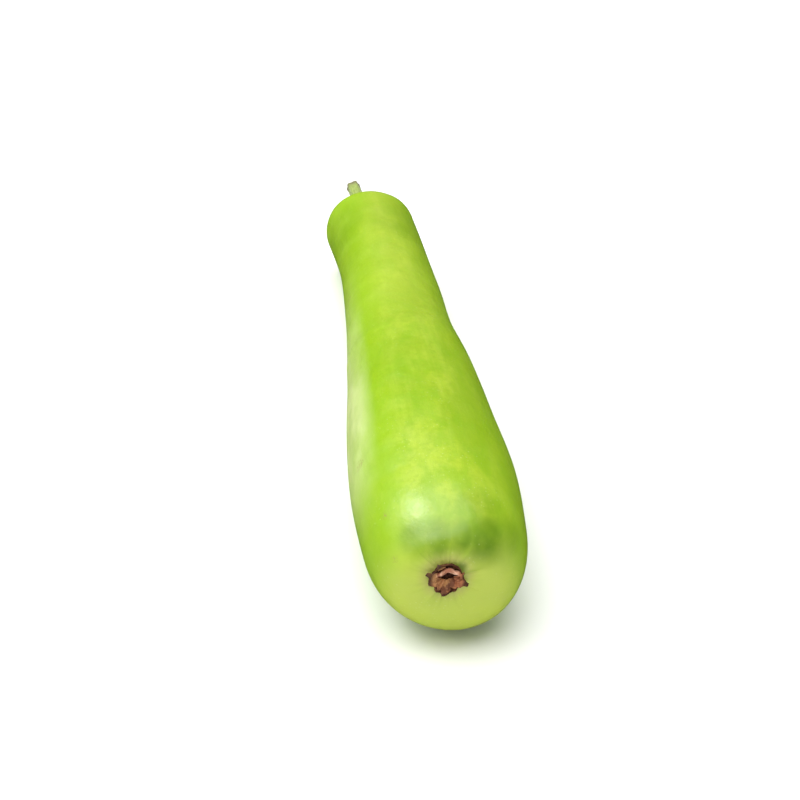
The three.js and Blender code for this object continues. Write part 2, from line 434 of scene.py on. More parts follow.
def fruit_relief(along, radius, angle, length, belly):
    """How far the skin stands out from that outline, in mm."""
    lobe_angle = angle + FURROWS["uneven"] * math.sin(angle + FURROWS["turn"])
    furrow = abs(math.sin(FURROWS["count"] * lobe_angle / 2)) ** FURROWS["sharp"]
    rising = min(radius / FURROWS["rim"], 1) ** 2
    near_stem = fade(math.hypot(radius, length - along), FURROWS["rim"], FURROWS["reach"])
    furrows = FURROWS["depth"] * furrow * rising * near_stem
    pucker = abs(math.cos(PUCKERS["count"] * angle / 2)) ** PUCKERS["sharp"]
    rising = min(radius / PUCKERS["rim"], 1)
    near_scar = fade(math.hypot(radius, along), PUCKERS["rim"], PUCKERS["reach"])
    puckers = PUCKERS["depth"] * pucker * rising * near_scar
    winding = WAVES["around"] * angle + 2 * math.pi * along / WAVES["pitch"] + WAVES["turn"]
    waves = WAVES["height"] * math.sin(winding) * min(radius / belly, 1)
    return waves - furrows - puckers


def section_middle(along, radius, length):
    """The middle of a section of the fruit, in the gourd's own frame."""
    place = along / length
    left, up, spread = SCAR_OFFSET
    share = math.exp(-((radius / spread) ** 4)) if place < 0.5 else 0
    x = smooth(DRIFT, place) + left * share
    z = 4 * ARCH * place * (1 - place) + up * share
    return Vector((x, along, z)) * MM


# Modelling


def clear_selection():
    bpy.ops.object.select_all(action="DESELECT")


def finish_piece(piece, node=None, angle=None):
    """Sets a finished piece down in the world, and says what it rides on and stands for."""
    clear_selection()
    piece.select_set(True)
    bpy.context.view_layer.objects.active = piece
    piece.rotation_euler = (REST_TILT, 0, 0)
    piece.location = TIP
    bpy.ops.object.transform_apply(location=True, rotation=True, scale=True)
    if angle is None:
        bpy.ops.object.shade_smooth()
    else:
        bpy.ops.object.shade_smooth_by_angle(angle=angle)
    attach(piece, "root")
    if node:
        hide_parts(node)


def loft(name, stations, sides, start, end):
    """Extrudes a circle ring by ring along +Y, from one closing point to the other.

    A station is (middle, radius).
    """
    clear_selection()
    middle, radius = stations[0]
    bpy.ops.mesh.primitive_circle_add(
        vertices=sides,
        radius=radius,
        fill_type="TRIFAN",
        location=(0, 0, 0),
        rotation=(math.pi / 2, 0, 0),
    )
    piece = bpy.context.object
    piece.name = piece.data.name = name
    bpy.ops.object.transform_apply(location=True, rotation=True, scale=True)
    bpy.ops.object.mode_set(mode="EDIT")
    bpy.ops.mesh.select_all(action="SELECT")
    bpy.ops.transform.translate(value=middle)
    bpy.ops.mesh.select_all(action="DESELECT")
    mesh = bmesh.from_edit_mesh(piece.data)
    for vertex in mesh.verts:
        if not vertex.is_boundary:
            vertex.co = start
    for edge in mesh.edges:
        if edge.is_boundary:
            edge.select_set(True)
    bmesh.update_edit_mesh(piece.data)
    for before, after in zip(stations, stations[1:]):
        step = after[0] - before[0]
        bpy.ops.mesh.extrude_edges_move(TRANSFORM_OT_translate={"value": step})
        scale = after[1] / before[1]
        bpy.ops.transform.resize(value=(scale, scale, scale), center_override=after[0])
    bpy.ops.mesh.extrude_edges_move(TRANSFORM_OT_translate={"value": end - stations[-1][0]})
    bpy.ops.mesh.merge(type="CENTER")
    bpy.ops.mesh.select_all(action="SELECT")
    bpy.ops.mesh.remove_doubles(threshold=MERGE_WITHIN)
    bpy.ops.mesh.normals_make_consistent(inside=False)
    bpy.ops.object.mode_set(mode="OBJECT")
    return piece


# Finishes


# Which sockets of a Mix node are the colours.
MIX_A, MIX_B, MIX_RESULT = 6, 7, 2


class Finish:
    """A material under construction: its tree, its surface shader and the object coordinates."""

    def __init__(self, name):
        self.material = bpy.data.materials.new(name)
        self.material.use_nodes = True
        self.tree = self.material.node_tree
        self.shader = self.tree.nodes["Principled BSDF"]
        self.coords = self.node("ShaderNodeTexCoord").outputs["Object"]

    def node(self, kind, **values):
        made = self.tree.nodes.new(kind)
        for key, value in values.items():
            setattr(made, key, value)
        return made

    def link(self, source, target):
        self.tree.links.new(source, target)

    def stretched(self, scale):
        """Object coordinates in the gourd's own frame, scaled along each axis."""
        mapping = self.node("ShaderNodeMapping", vector_type="TEXTURE")
        mapping.inputs["Location"].default_value = TIP
        mapping.inputs["Rotation"].default_value = (REST_TILT, 0, 0)
        mapping.inputs["Scale"].default_value = [1 / s for s in scale]
        self.link(self.coords, mapping.inputs["Vector"])
        return mapping.outputs["Vector"]

    def noise(self, vector, scale=1.0, detail=3.0, rough=0.55, distortion=0.0):
        made = self.node("ShaderNodeTexNoise")
        made.inputs["Scale"].default_value = scale
        made.inputs["Detail"].default_value = detail
        made.inputs["Roughness"].default_value = rough
        made.inputs["Distortion"].default_value = distortion
        self.link(vector, made.inputs["Vector"])
        return made.outputs["Fac"]

    def cells(self, vector, scale):
        made = self.node("ShaderNodeTexVoronoi")
        made.inputs["Scale"].default_value = scale
        self.link(vector, made.inputs["Vector"])
        return made.outputs["Distance"]

    def ranged(self, value, low, high, to_low=0.0, to_high=1.0, kind="SMOOTHSTEP"):
        """Maps low to to_low and high to to_high, and keeps to that range."""
        made = self.node("ShaderNodeMapRange", interpolation_type=kind)
        made.inputs["From Min"].default_value = low
        made.inputs["From Max"].default_value = high
        made.inputs["To Min"].default_value = to_low
        made.inputs["To Max"].default_value = to_high
        self.link(value, made.inputs["Value"])
        return made.outputs["Result"]

    def maths(self, operation, a, b):
        made = self.node("ShaderNodeMath", operation=operation)
        for socket, value in zip(made.inputs, (a, b)):
            if isinstance(value, (int, float)):
                socket.default_value = value
            else:
                self.link(value, socket)
        return made.outputs["Value"]

    def mix(self, factor, a, b):
        """A colour between a and b; each is a colour or a socket."""
        made = self.node("ShaderNodeMix", data_type="RGBA")
        self.link(factor, made.inputs["Factor"])
        for socket, value in ((made.inputs[MIX_A], a), (made.inputs[MIX_B], b)):
            if isinstance(value, bpy.types.NodeSocket):
                self.link(value, socket)
            else:
                socket.default_value = (*value, 1)
        return made.outputs[MIX_RESULT]

    def distance_to(self, vector, point):
        made = self.node("ShaderNodeVectorMath", operation="DISTANCE")
        self.link(vector, made.inputs[0])
        made.inputs[1].default_value = point
        return made.outputs["Value"]

    def axis(self, vector, name):
        made = self.node("ShaderNodeSeparateXYZ")
        self.link(vector, made.inputs["Vector"])
        return made.outputs[name]

    def round_the_scar(self, vector):
        """The direction from the scar's middle, so that a pattern on it runs outwards."""
        place = self.node("ShaderNodeVectorMath", operation="SUBTRACT")
        self.link(vector, place.inputs[0])
        place.inputs[1].default_value = SCAR_CENTRE
        flat = self.node("ShaderNodeVectorMath", operation="MULTIPLY")
        self.link(place.outputs["Vector"], flat.inputs[0])
        flat.inputs[1].default_value = (1, 0, 1)
        unit = self.node("ShaderNodeVectorMath", operation="NORMALIZE")
        self.link(flat.outputs["Vector"], unit.inputs[0])
        return unit.outputs["Vector"]

    def bump(self, heights):
        """Stacks (height socket, distance in metres, strength) layers of bump."""
        normal = None
        for height, distance, strength in heights:
            made = self.node("ShaderNodeBump")
            made.inputs["Distance"].default_value = distance
            made.inputs["Strength"].default_value = strength
            self.link(height, made.inputs["Height"])
            if normal:
                self.link(normal, made.inputs["Normal"])
            normal = made.outputs["Normal"]
        self.link(normal, self.shader.inputs["Normal"])

    def constants(self, **values):
        for key, value in values.items():
            self.shader.inputs[key.replace("_", " ")].default_value = value


# Colours of the skin's markings, and of the painted shade and the painted reflection on it.
CLOUD_GREEN = (0.21, 0.41, 0.008)
FLANK_SHADE_GREEN = (0.265, 0.475, 0.004)
SHADE_BAND_GREEN = (0.1, 0.22, 0.001)
REFLECTION_WHITE = (0.76, 0.84, 0.4)
HALO_YELLOW = (0.5, 0.5, 0.13)
FLECK_YELLOW = (0.7, 0.78, 0.34)
SCUFF_BROWN = (0.3, 0.24, 0.07)

# Colours of the stalk's fibres, freckles and cut end, and where it browns, in metres along.
FIBRE_GREEN = (0.36, 0.44, 0.11)
FRECKLE_GREEN = (0.2, 0.24, 0.05)
CUT_BROWN = (0.15, 0.12, 0.05)
CUT_START, CUT_FULL = 0.4655, 0.4685

# Colours of the dry flower and its petals, with painted shade and a painted highlight among them.
# The ring is darkened to painted shade: it has this share of the petals' brown.
RING_SHADE_MAROON = (0.05, 0.012, 0.008)
RING_SHADE_SHARE = 0.3
PETAL_GOLD = (0.44, 0.215, 0.08)
PETAL_RED = (0.42, 0.125, 0.055)
CREASE_SHADE_BROWN = (0.13, 0.038, 0.02)
LIP_BROWN = (0.36, 0.13, 0.07)
LIP_PINK_HIGHLIGHT = (0.8, 0.5, 0.34)
BURNT_AND_SHADE_BROWN = (0.04, 0.017, 0.007)

# Where the skin is painted a deeper green: painted shade for the band above the scar and for the
# shadow under the scar's rim, partly deeper skin there, and darker at the sides of the head; and
# where it is rubbed: (place in the gourd's own frame, radius within which the patch is full,
# radius past which it is gone, share). Lengths are in mm.
SHADE_AND_DEEP_PATCHES = (
    ((18, 8, 24), 4, 17, 1),
    ((29, 15, 21), 3, 13, 0.6),
    ((5, 5, 29), 3, 12, 0.85),
    ((-6, 6, 29), 3, 13, 0.95),
    ((-17, 9, 27), 3, 13, 0.75),
    ((3.4, 2, 13.4), 1, 5.5, 0.7),
    ((17, 20, 36), 3, 17, 0.3),
    ((-22, 378, 15), 5, 40, 0.35),
    ((20, 365, 26), 5, 40, 0.35),
)
RUBBED_PATCHES = (
    ((-29, 29, 28), 0, 4, 0.8),
    ((-26, 10, 15), 0, 3, 0.7),
    ((-36, 79, 26), 0, 6, 0.8),
    ((-23, 278, 18), 0, 5, 0.7),
    ((27, 208, 25), 0, 4, 0.7),
)


def patches(look, own, places):
    """How much of a patch shows at each point of the skin."""
    total = None
    for place, near, far, share in places:
        distance = look.distance_to(own, Vector(place) * MM)
        patch = look.ranged(distance, far * MM, near * MM, 0, share)
        total = patch if total is None else look.maths("MAXIMUM", total, patch)
    return total


def skin_finish(colours):
    """Satin green skin: mottled and streaked along its length, with pale flecks and scuffs."""
    look = Finish("gourd_skin")
    own = look.stretched((1, 1, 1))
    skin, deep, pale = tuple(colours.skin), tuple(colours.skin_deep), tuple(colours.skin_pale)

    # Mottling, drawn out along the fruit
    blotches = look.noise(look.stretched((34, 12, 34)), detail=4, rough=0.6, distortion=0.3)
    colour = look.mix(look.ranged(blotches, 0.4, 0.6, 0, 0.68), skin, deep)
    clouds = look.noise(look.stretched((95, 45, 95)), detail=4, rough=0.6)
    colour = look.mix(look.ranged(clouds, 0.4, 0.62, 0, 0.52), colour, CLOUD_GREEN)
    streaks = look.noise(look.stretched((150, 9, 150)), rough=0.6)
    colour = look.mix(look.ranged(streaks, 0.46, 0.76, 0, 0.22), colour, pale)
    grain = look.noise(own, 330, rough=0.6)
    colour = look.mix(look.ranged(grain, 0.42, 0.72, 0, 0.4), colour, deep)

    # Paler neck, a painted shade of darker green on both flanks, and a painted whitish reflection
    # on the left flank
    across, along, up = look.axis(own, "X"), look.axis(own, "Y"), look.axis(own, "Z")
    neck = look.ranged(along, 150 * MM, 280 * MM, 0, 0.3)
    colour = look.mix(neck, colour, pale)
    to_right = look.maths("ADD", across, look.maths("MULTIPLY", along, 0.03))
    to_left = look.maths("SUBTRACT", across, look.maths("MULTIPLY", along, 0.05))
    # Painted shade: the flanks turn a darker green where the sides face away from the light.
    right_flank_shade = look.ranged(to_right, 14 * MM, 40 * MM, 0, 0.65)
    left_flank_shade = look.ranged(to_left, -13 * MM, -32 * MM, 0, 0.75)
    colour = look.mix(look.maths("MAXIMUM", left_flank_shade, right_flank_shade), colour, FLANK_SHADE_GREEN)
    # Painted reflection: a whitish band on the left flank, where it would mirror the white room.
    painted_reflection = look.ranged(to_left, -29 * MM, -41 * MM, 0, 0.72)
    painted_reflection = look.maths("MULTIPLY", painted_reflection, look.ranged(along, 20 * MM, 120 * MM))
    painted_reflection = look.maths("MULTIPLY", painted_reflection, look.ranged(along, 330 * MM, 150 * MM))
    painted_reflection = look.maths("MULTIPLY", painted_reflection, look.ranged(up, -8 * MM, 14 * MM))
    cloudy = look.noise(look.stretched((70, 18, 70)), detail=4, rough=0.6)
    painted_reflection = look.maths("MULTIPLY", painted_reflection, look.ranged(cloudy, 0.3, 0.6, 0.55, 1))
    colour = look.mix(painted_reflection, colour, REFLECTION_WHITE)

    # Pale blossom end, yellowish round the scar, with the band above it painted deeper green as
    # painted shade
    end = look.ranged(look.distance_to(own, (0, 0, -12 * MM)), 49 * MM, 25 * MM, 0, 0.85)
    colour = look.mix(end, colour, pale)
    from_scar = look.distance_to(own, SCAR_CENTRE)
    halo = look.ranged(from_scar, 16 * MM, 8.5 * MM, 0, 0.75)
    colour = look.mix(halo, colour, HALO_YELLOW)
    uneven = look.ranged(look.noise(own, 48, rough=0.5), 0.3, 0.62, 0.6, 1)
    # Painted shade: the deeper green band above the scar and the shadow under its rim.
    painted_shade = look.maths("MULTIPLY", patches(look, own, SHADE_AND_DEEP_PATCHES), uneven)
    colour = look.mix(painted_shade, colour, SHADE_BAND_GREEN)

    # Fine wrinkles round the scar, flecks and scuffs
    spokes = look.noise(look.round_the_scar(own), 3.2, rough=0.6)
    near_scar = look.ranged(from_scar, 24 * MM, 11 * MM)
    wrinkles = look.maths("MULTIPLY", look.ranged(spokes, 0.45, 0.7), near_scar)
    colour = look.mix(look.maths("MULTIPLY", wrinkles, 0.35), colour, deep)

    spread = look.ranged(look.noise(own, 40, detail=2), 0.4, 0.62)
    flecks = look.ranged(look.cells(own, 420), 0.22, 0.1)
    flecks = look.maths("MULTIPLY", look.maths("MULTIPLY", flecks, spread), 0.22)
    colour = look.mix(flecks, colour, FLECK_YELLOW)
    rubbed = look.noise(look.stretched((1500, 500, 1500)), detail=4, rough=0.7)
    scuffs = look.ranged(rubbed, 0.48, 0.62)
    scuffs = look.maths("MULTIPLY", patches(look, own, RUBBED_PATCHES), scuffs)
    colour = look.mix(scuffs, colour, SCUFF_BROWN)
    look.link(colour, look.shader.inputs["Base Color"])

    # Uneven shine
    shine = look.ranged(look.noise(own, 70, detail=4, rough=0.6), 0.3, 0.7, 0.28, 0.46, "LINEAR")
    look.link(shine, look.shader.inputs["Roughness"])
    look.constants(
        Specular_IOR_Level=0.45,
        Subsurface_Weight=0.08,
        Subsurface_Radius=(0.6, 1.0, 0.25),
        Subsurface_Scale=0.004,
    )
    look.bump(
        [
            (look.noise(own, 55), 0.0012, 0.4),
            (look.noise(own, 140), 0.0006, 0.4),
            (look.noise(look.stretched((260, 60, 260))), 0.0003, 0.4),
            (wrinkles, 0.0005, 0.6),
            (look.noise(own, 1400, rough=0.6), 0.00008, 0.5),
        ]
    )
    return look.material


def stalk_finish(colours):
    """Matt green stalk: fibres along it, browner at the cut."""
    look = Finish("gourd_stalk")
    own = look.stretched((1, 1, 1))
    fibres = look.noise(look.stretched((1400, 45, 1400)), detail=4, rough=0.65)
    colour = look.mix(look.ranged(fibres, 0.35, 0.7), tuple(colours.stalk), FIBRE_GREEN)
    freckles = look.ranged(look.noise(own, 500, rough=0.7), 0.58, 0.72, 0, 0.5)
    colour = look.mix(freckles, colour, FRECKLE_GREEN)
    cut = look.ranged(look.axis(own, "Y"), CUT_START, CUT_FULL, 0, 0.85)
    colour = look.mix(cut, colour, CUT_BROWN)
    look.link(colour, look.shader.inputs["Base Color"])
    look.constants(Roughness=0.62, Specular_IOR_Level=0.4, Sheen_Weight=0.25, Sheen_Roughness=0.5)
    look.bump([(fibres, 0.0006, 0.6), (look.noise(own, 2200), 0.0001, 0.5)])
    return look.material


def dry_flower_finish(colours):
    """The dry flower's torn ring and its hollow middle: its brown darkened to maroon as painted
    shade of the slit and of the gap under the skin's rim, nearly black in folds as painted shade.
    """
    look = Finish("dry_flower")
    own = look.stretched((1, 1, 1))
    folds = look.noise(own, 260, detail=4, rough=0.65, distortion=0.5)
    # Painted shade: the ring and the plug are darkened, nearly black in the folds.
    dark = tuple(RING_SHADE_SHARE * part for part in colours.dry)
    colour = look.mix(look.ranged(folds, 0.36, 0.62), RING_SHADE_MAROON, dark)
    look.link(colour, look.shader.inputs["Base Color"])
    look.constants(Roughness=0.85, Specular_IOR_Level=0.2)
    look.bump([(folds, 0.001, 0.8), (look.noise(own, 1800, rough=0.7), 0.0002, 0.6)])
    return look.material


def dry_petals_finish(colours):
    """The papery petals: golden brown, redder to the right, with painted shade in their folds, a
    pale lip partly lit by a painted highlight, and dark tips with a painted shadow round the rim.
    """
    look = Finish("dry_petals")
    own = look.stretched((1, 1, 1))
    folds = look.noise(own, 190, detail=4, rough=0.6, distortion=0.6)
    patchy = look.noise(own, 120)
    colour = look.mix(look.ranged(patchy, 0.38, 0.62), tuple(colours.dry), PETAL_GOLD)
    across, up = look.axis(own, "X"), look.axis(own, "Z")
    red = look.ranged(across, SCAR_CENTRE.x + 1.5 * MM, SCAR_CENTRE.x + 4 * MM, 0, 0.6)
    colour = look.mix(red, colour, PETAL_RED)
    # Painted shade: darker where the folds' bump sinks lowest.
    crease_shade = look.ranged(folds, 0.56, 0.42, 0, 0.78)
    colour = look.mix(crease_shade, colour, CREASE_SHADE_BROWN)
    from_middle = look.distance_to(own, SCAR_CENTRE)
    # The lip at the top is pale pink: partly its own colour, partly a painted highlight where it
    # catches the light from above.
    lip = look.ranged(up, SCAR_CENTRE.z + 1.9 * MM, SCAR_CENTRE.z + 3.0 * MM)
    lip = look.maths("MULTIPLY", lip, look.ranged(from_middle, 7.6 * MM, 6 * MM))
    lip_tone_and_highlight = look.mix(look.ranged(folds, 0.4, 0.62), LIP_BROWN, LIP_PINK_HIGHLIGHT)
    colour = look.mix(lip, colour, lip_tone_and_highlight)
    # Dark edges: the dried petals' own dark tips, and a painted shadow round the rim where the
    # skin overhangs the scar.
    edge = look.ranged(from_middle, 7.2 * MM, 9.2 * MM, 0, 0.95)
    burnt_and_shade = look.maths("MULTIPLY", edge, look.ranged(patchy, 0.42, 0.58, 0.72, 1))
    colour = look.mix(burnt_and_shade, colour, BURNT_AND_SHADE_BROWN)
    look.link(colour, look.shader.inputs["Base Color"])
    look.constants(Roughness=0.75, Specular_IOR_Level=0.3)
    look.bump([(folds, 0.001, 0.8), (look.noise(own, 1500, rough=0.7), 0.0002, 0.6)])
    return look.material


# Pieces


def fruit_piece(sizes):
    """The fruit: rings extruded along its outline, then pressed into furrows and puckers."""
    length, belly = sizes.fruit_length / MM, sizes.belly_radius / MM
    rings = range(FRUIT_RINGS + 1)
    outline = [fruit_outline(k / FRUIT_RINGS, length, belly) for k in rings]
    middles = [section_middle(*point, length) for point in outline]
    stations = [(middle, point[1] * MM) for middle, point in zip(middles[1:-1], outline[1:-1])]
    piece = loft("gourd_fruit", stations, FRUIT_SIDES, middles[0], middles[-1])

    def middle_near(place):
        """The middle of the ring that this place lies on."""

        def misfit(ring):
            off = place - middles[ring]
            return abs(off.y) + abs(math.hypot(off.x, off.z) - outline[ring][1] * MM)

        return middles[min(rings, key=misfit)]

    mesh = piece.data
    normals = [vertex.normal.copy() for vertex in mesh.vertices]
    oval, long_axis = OVAL
    for vertex, normal in zip(mesh.vertices, normals):
        across = vertex.co - middle_near(vertex.co)
        radius = math.hypot(across.x, across.z) / MM
        angle = math.atan2(across.z, across.x)
        out = fruit_relief(vertex.co.y / MM, radius, angle, length, belly)
        wider = oval * math.cos(2 * (angle - long_axis))
        vertex.co += normal * out * MM + Vector((across.x, 0, across.z)) * wider
    finish_piece(piece, "fruit")
    bpy.ops.object.mode_set(mode="EDIT")
    bpy.ops.mesh.select_all(action="SELECT")
    bpy.ops.mesh.bisect(
        plane_co=(0, 0, 0),
        plane_no=(0, 0, 1),
        use_fill=True,
        clear_inner=True,
        threshold=CUT_WITHIN,
    )
    bpy.ops.object.mode_set(mode="OBJECT")
    return piece


def stem_line(sizes):
    """The stem's centre line: four control points of a curve, in the gourd's own frame."""
    root = sizes.fruit_length - (STEM_DIP[0] + STEM_ROOT) * MM
    start = Vector((DRIFT[-1][1] * MM, root, 0))
    points = [start]
    for share, bend in STEM_LINE:
        points.append(start + Vector((0, sizes.stem_length * share, 0)) + STEM_BEND * bend)
    return points


def on_line(line, t):
    """The point and the direction of a cubic curve at t."""
    a, b, c, d = line
    s = 1 - t
    point = a * s**3 + b * 3 * s * s * t + c * 3 * s * t * t + d * t**3
    ahead = (b - a) * 3 * s * s + (c - b) * 6 * s * t + (d - c) * 3 * t * t
    return point, ahead.normalized()


def stem_piece(sizes):
    """The stem: rings extruded straight, ridged, then bent along its line, with a hollow cut."""
    length = sizes.stem_length
    stations = []
    for ring in range(STEM_RINGS + 1):
        radius = sizes.stem_radius * smooth(STEM_GIRTH, ring / STEM_RINGS)
        stations.append((Vector((0, length * ring / STEM_RINGS, 0)), radius))
    rim = stations[-1][1]
    for past, share in STEM_HOLLOW:
        stations.append((Vector((0, length + past * MM, 0)), rim * share))
    bottom = Vector((0, length - STEM_HOLLOW_DEPTH * MM, 0))
    piece = loft("gourd_stem", stations, STEM_SIDES, Vector((0, 0, 0)), bottom)
    line = stem_line(sizes)
    for vertex in piece.data.vertices:
        t = min(vertex.co.y / length, 1.0)
        beyond = vertex.co.y - t * length
        angle = math.atan2(vertex.co.z, vertex.co.x)
        flare = max(smooth(STEM_GIRTH, t) - 1, 0)
        high = STEM_RIDGES["height"] + STEM_RIDGES["flare"] * flare
        ridge = high * math.cos(STEM_RIDGES["count"] * angle)
        rib = STEM_RIBS["height"] * math.cos(STEM_RIBS["count"] * angle + STEM_RIBS["twist"] * t)
        spot = Vector((vertex.co.x, vertex.co.y * STEM_KNOTS["stretch"], vertex.co.z))
        knot = noise.noise(spot * STEM_KNOTS["per_metre"]) * STEM_KNOTS["height"]
        grow = 1 + ridge + rib + knot
        point, ahead = on_line(line, t)
        right = ahead.cross(Vector((0, 0, 1))).normalized()
        up = right.cross(ahead)
        vertex.co = point + ahead * beyond + (right * vertex.co.x + up * vertex.co.z) * grow
    finish_piece(piece, "stem", STEM_EDGE)
    return piece


def ripple(angle, waves):
    """The height at this angle of waves round a circle, each as (height, count, turn)."""
    return sum(height * math.sin(count * angle + turn) for height, count, turn in waves)


def tear(angle):
    """How far the torn ring reaches past its mean radius at this angle, in mm."""
    degrees = math.degrees(angle) % 360
    apart = ((abs((degrees - at + 540) % 360 - 180), reach) for at, reach in TEARS)
    return max(reach * max(1 - gap / TEAR_HALF_WIDTH, 0) for gap, reach in apart)


def dry_flower_piece(sizes):
    """The dry flower: a crinkled plug inside a torn ring, extruded outwards from the middle."""
    noise.seed_set(NOISE_SEED)
    clear_selection()
    radius = sizes.scar_radius / MM
    first, height = FLOWER_PROFILE[0]
    bpy.ops.mesh.primitive_circle_add(
        vertices=FLOWER_SIDES,
        radius=first * radius * MM,
        fill_type="TRIFAN",
        rotation=(math.pi / 2, 0, 0),
    )
    piece = bpy.context.object
    piece.name = piece.data.name = "dry_flower"
    bpy.ops.object.transform_apply(location=True, rotation=True, scale=True)
    bpy.ops.object.mode_set(mode="EDIT")
    bpy.ops.mesh.select_all(action="DESELECT")
    mesh = bmesh.from_edit_mesh(piece.data)
    for edge in mesh.edges:
        if edge.is_boundary:
            edge.select_set(True)
    bmesh.update_edit_mesh(piece.data)
    for (r0, h0), (r1, h1) in zip(FLOWER_PROFILE, FLOWER_PROFILE[1:]):
        bpy.ops.mesh.extrude_edges_move(TRANSFORM_OT_translate={"value": (0, (h0 - h1) * MM, 0)})
        scale = r1 / r0
        bpy.ops.transform.resize(value=(scale, 1, scale), center_override=(0, 0, 0))
    bpy.ops.mesh.edge_face_add()
    bpy.ops.mesh.select_all(action="SELECT")
    bpy.ops.mesh.normals_make_consistent(inside=False)
    bpy.ops.object.mode_set(mode="OBJECT")
    for vertex in piece.data.vertices:
        out = math.hypot(vertex.co.x, vertex.co.z) / MM
        up = height - vertex.co.y / MM
        angle = math.atan2(vertex.co.z, vertex.co.x)
        share = out / radius
        in_ring = min(max((share - FLOWER_RING) / (1 - FLOWER_RING), 0), 1) * (up > FLOWER_SKIN)
        wander = noise.noise(Vector((math.cos(angle), math.sin(angle), 3.7)) * 1.6)
        reach = FLOWER_EDGE["out"] * tear(angle) + FLOWER_EDGE["wander"] * wander
        reach = (reach - FLOWER_EDGE["back"]) * in_ring
        lift = 0.0
        if share < FLOWER_MIDDLE:
            lift = ripple(angle, FLOWER_CRINKLE) * min(share / 0.3, 1)
        elif up > FLOWER_SKIN:
            curl = ripple(angle, FLOWER_CURL) + FLOWER_EDGE["up"] * tear(angle)
            lift = curl * min((share - 0.74) / 0.2, 1)
        folds = Vector((0, 0, 0))
        if up >= -FLOWER_ROOT:
            spot = Vector((vertex.co.x, up * MM, vertex.co.z))
            for fineness, high in FLOWER_FOLDS:
                folds += noise.noise_vector(spot * fineness) * high
        scale = (out + reach) / out if out else 1
        place = Vector((vertex.co.x * scale, -(up + lift) * MM, vertex.co.z * scale))
        vertex.co = SCAR_CENTRE + place + folds * MM
    finish_piece(piece, "blossom_remnant", PAPER_EDGE)
    return piece


def paper_strip(columns, rows, shape):
    """A grid bent by a shape of (along, across) in shares, given a papery thickness."""
    clear_selection()
    bpy.ops.mesh.primitive_grid_add(x_subdivisions=columns, y_subdivisions=rows, size=1)
    strip = bpy.context.object
    for vertex in strip.data.vertices:
        vertex.co = shape(vertex.co.x + 0.5, vertex.co.y + 0.5)
    solid = strip.modifiers.new("thickness", "SOLIDIFY")
    solid.thickness = PAPER_THICKNESS * MM
    solid.offset = 0
    bpy.ops.object.modifier_apply(modifier=solid.name)
    return strip


def crumple(place, size, amount):
    """A smooth random shift of a place, by about this amount in mm."""
    return noise.noise_vector(place * size) * amount


def lip_shape(u, v):
    """The rolled lip that arches over the dark slit: u along it, v across its roll."""
    angle = math.radians(LIP["start"] + LIP["turn"] * u)
    roll = math.radians(LIP["roll_start"] + LIP["roll_turn"] * v)
    taper = math.sin(math.pi * min(max(u, LIP["tip"]), 1 - LIP["tip"])) ** 0.5
    out = LIP["thick"] * taper * math.cos(roll)
    wavy = ripple(angle, LIP_WAVES)
    wide, high = LIP["wide"] + out + wavy, LIP["high"] + out + wavy
    height = LIP["height"] + LIP["raised"] * taper * math.sin(roll) + ripple(angle, LIP_LIFT)
    place = Vector((wide * math.cos(angle) + 0.2, -height, high * math.sin(angle) + 0.4))
    return SCAR_CENTRE + (place + crumple(place, 0.5, 0.5)) * MM


def fan_shape(u, v):
    """The pleated plate below the slit: u round it, v outwards from its hub."""
    angle = math.radians(FAN["start"] + FAN["turn"] * u)
    ragged = noise.noise(Vector((7 * u, 3.1, 0.7)))
    reach = FAN["reach"] + FAN["ragged"] * ragged + tear(angle) * FAN["torn"]
    radius = FAN["hub"] + (reach - FAN["hub"]) * v
    pleat = math.sin(2 * math.pi * FAN["pleats"] * u + 1.2 * math.sin(4 * u)) * (0.3 + 0.6 * v)
    height = FAN["height"] + FAN["bulge"] * math.sin(math.pi * v) + pleat - FAN["droop"] * v
    wide = radius + FAN["open"] * (1 - v) ** 2
    place = Vector((wide * math.cos(angle) - 0.2, -height, radius * math.sin(angle) + 0.8))
    return SCAR_CENTRE + (place + crumple(place, 0.45, 0.7)) * MM


def scrap_shape(angle, inner, outer, width):
    """A small torn scrap that points outwards at an angle in degrees."""

    def shape(u, v):
        ragged = 1 + 0.4 * noise.noise(Vector((u * 4, angle, v * 3)))
        side = (v - 0.5) * width * (1 - 0.75 * u) * ragged
        height = 2.0 + 0.9 * math.sin(math.pi * u) + 0.8 * (v - 0.5) ** 2
        place = Vector((inner + (outer - inner) * u, -height, side))
        turned = Matrix.Rotation(-math.radians(angle), 3, "Y") @ place
        return SCAR_CENTRE + (turned + crumple(turned, 0.6, 0.5)) * MM

    return shape


def dry_petals_piece():
    """Papery remains of the petals: an arched lip, a pleated fan and a few torn scraps."""
    noise.seed_set(NOISE_SEED)
    strips = [paper_strip(*LIP_GRID, lip_shape), paper_strip(*FAN_GRID, fan_shape)]
    for scrap in SCRAPS:
        strips.append(paper_strip(*SCRAP_GRID, scrap_shape(*scrap)))
    clear_selection()
    for strip in strips:
        strip.select_set(True)
    bpy.context.view_layer.objects.active = strips[0]
    bpy.ops.object.join()
    piece = bpy.context.object
    piece.name = piece.data.name = "dry_petals"
    finish_piece(piece, None, PAPER_EDGE)
    return piece


def dress(piece, material):
    piece.data.materials.clear()
    piece.data.materials.append(material)


# Operators


class GourdFruitMaker(bpy.types.Operator):
    """Model the fruit and give it its skin"""

    bl_idname = "gourd.fruit"
    bl_label = "Fruit"

    def execute(self, context):
        scene = context.scene
        dress(fruit_piece(scene.gourd_sizes), skin_finish(scene.gourd_colours))
        return {"FINISHED"}


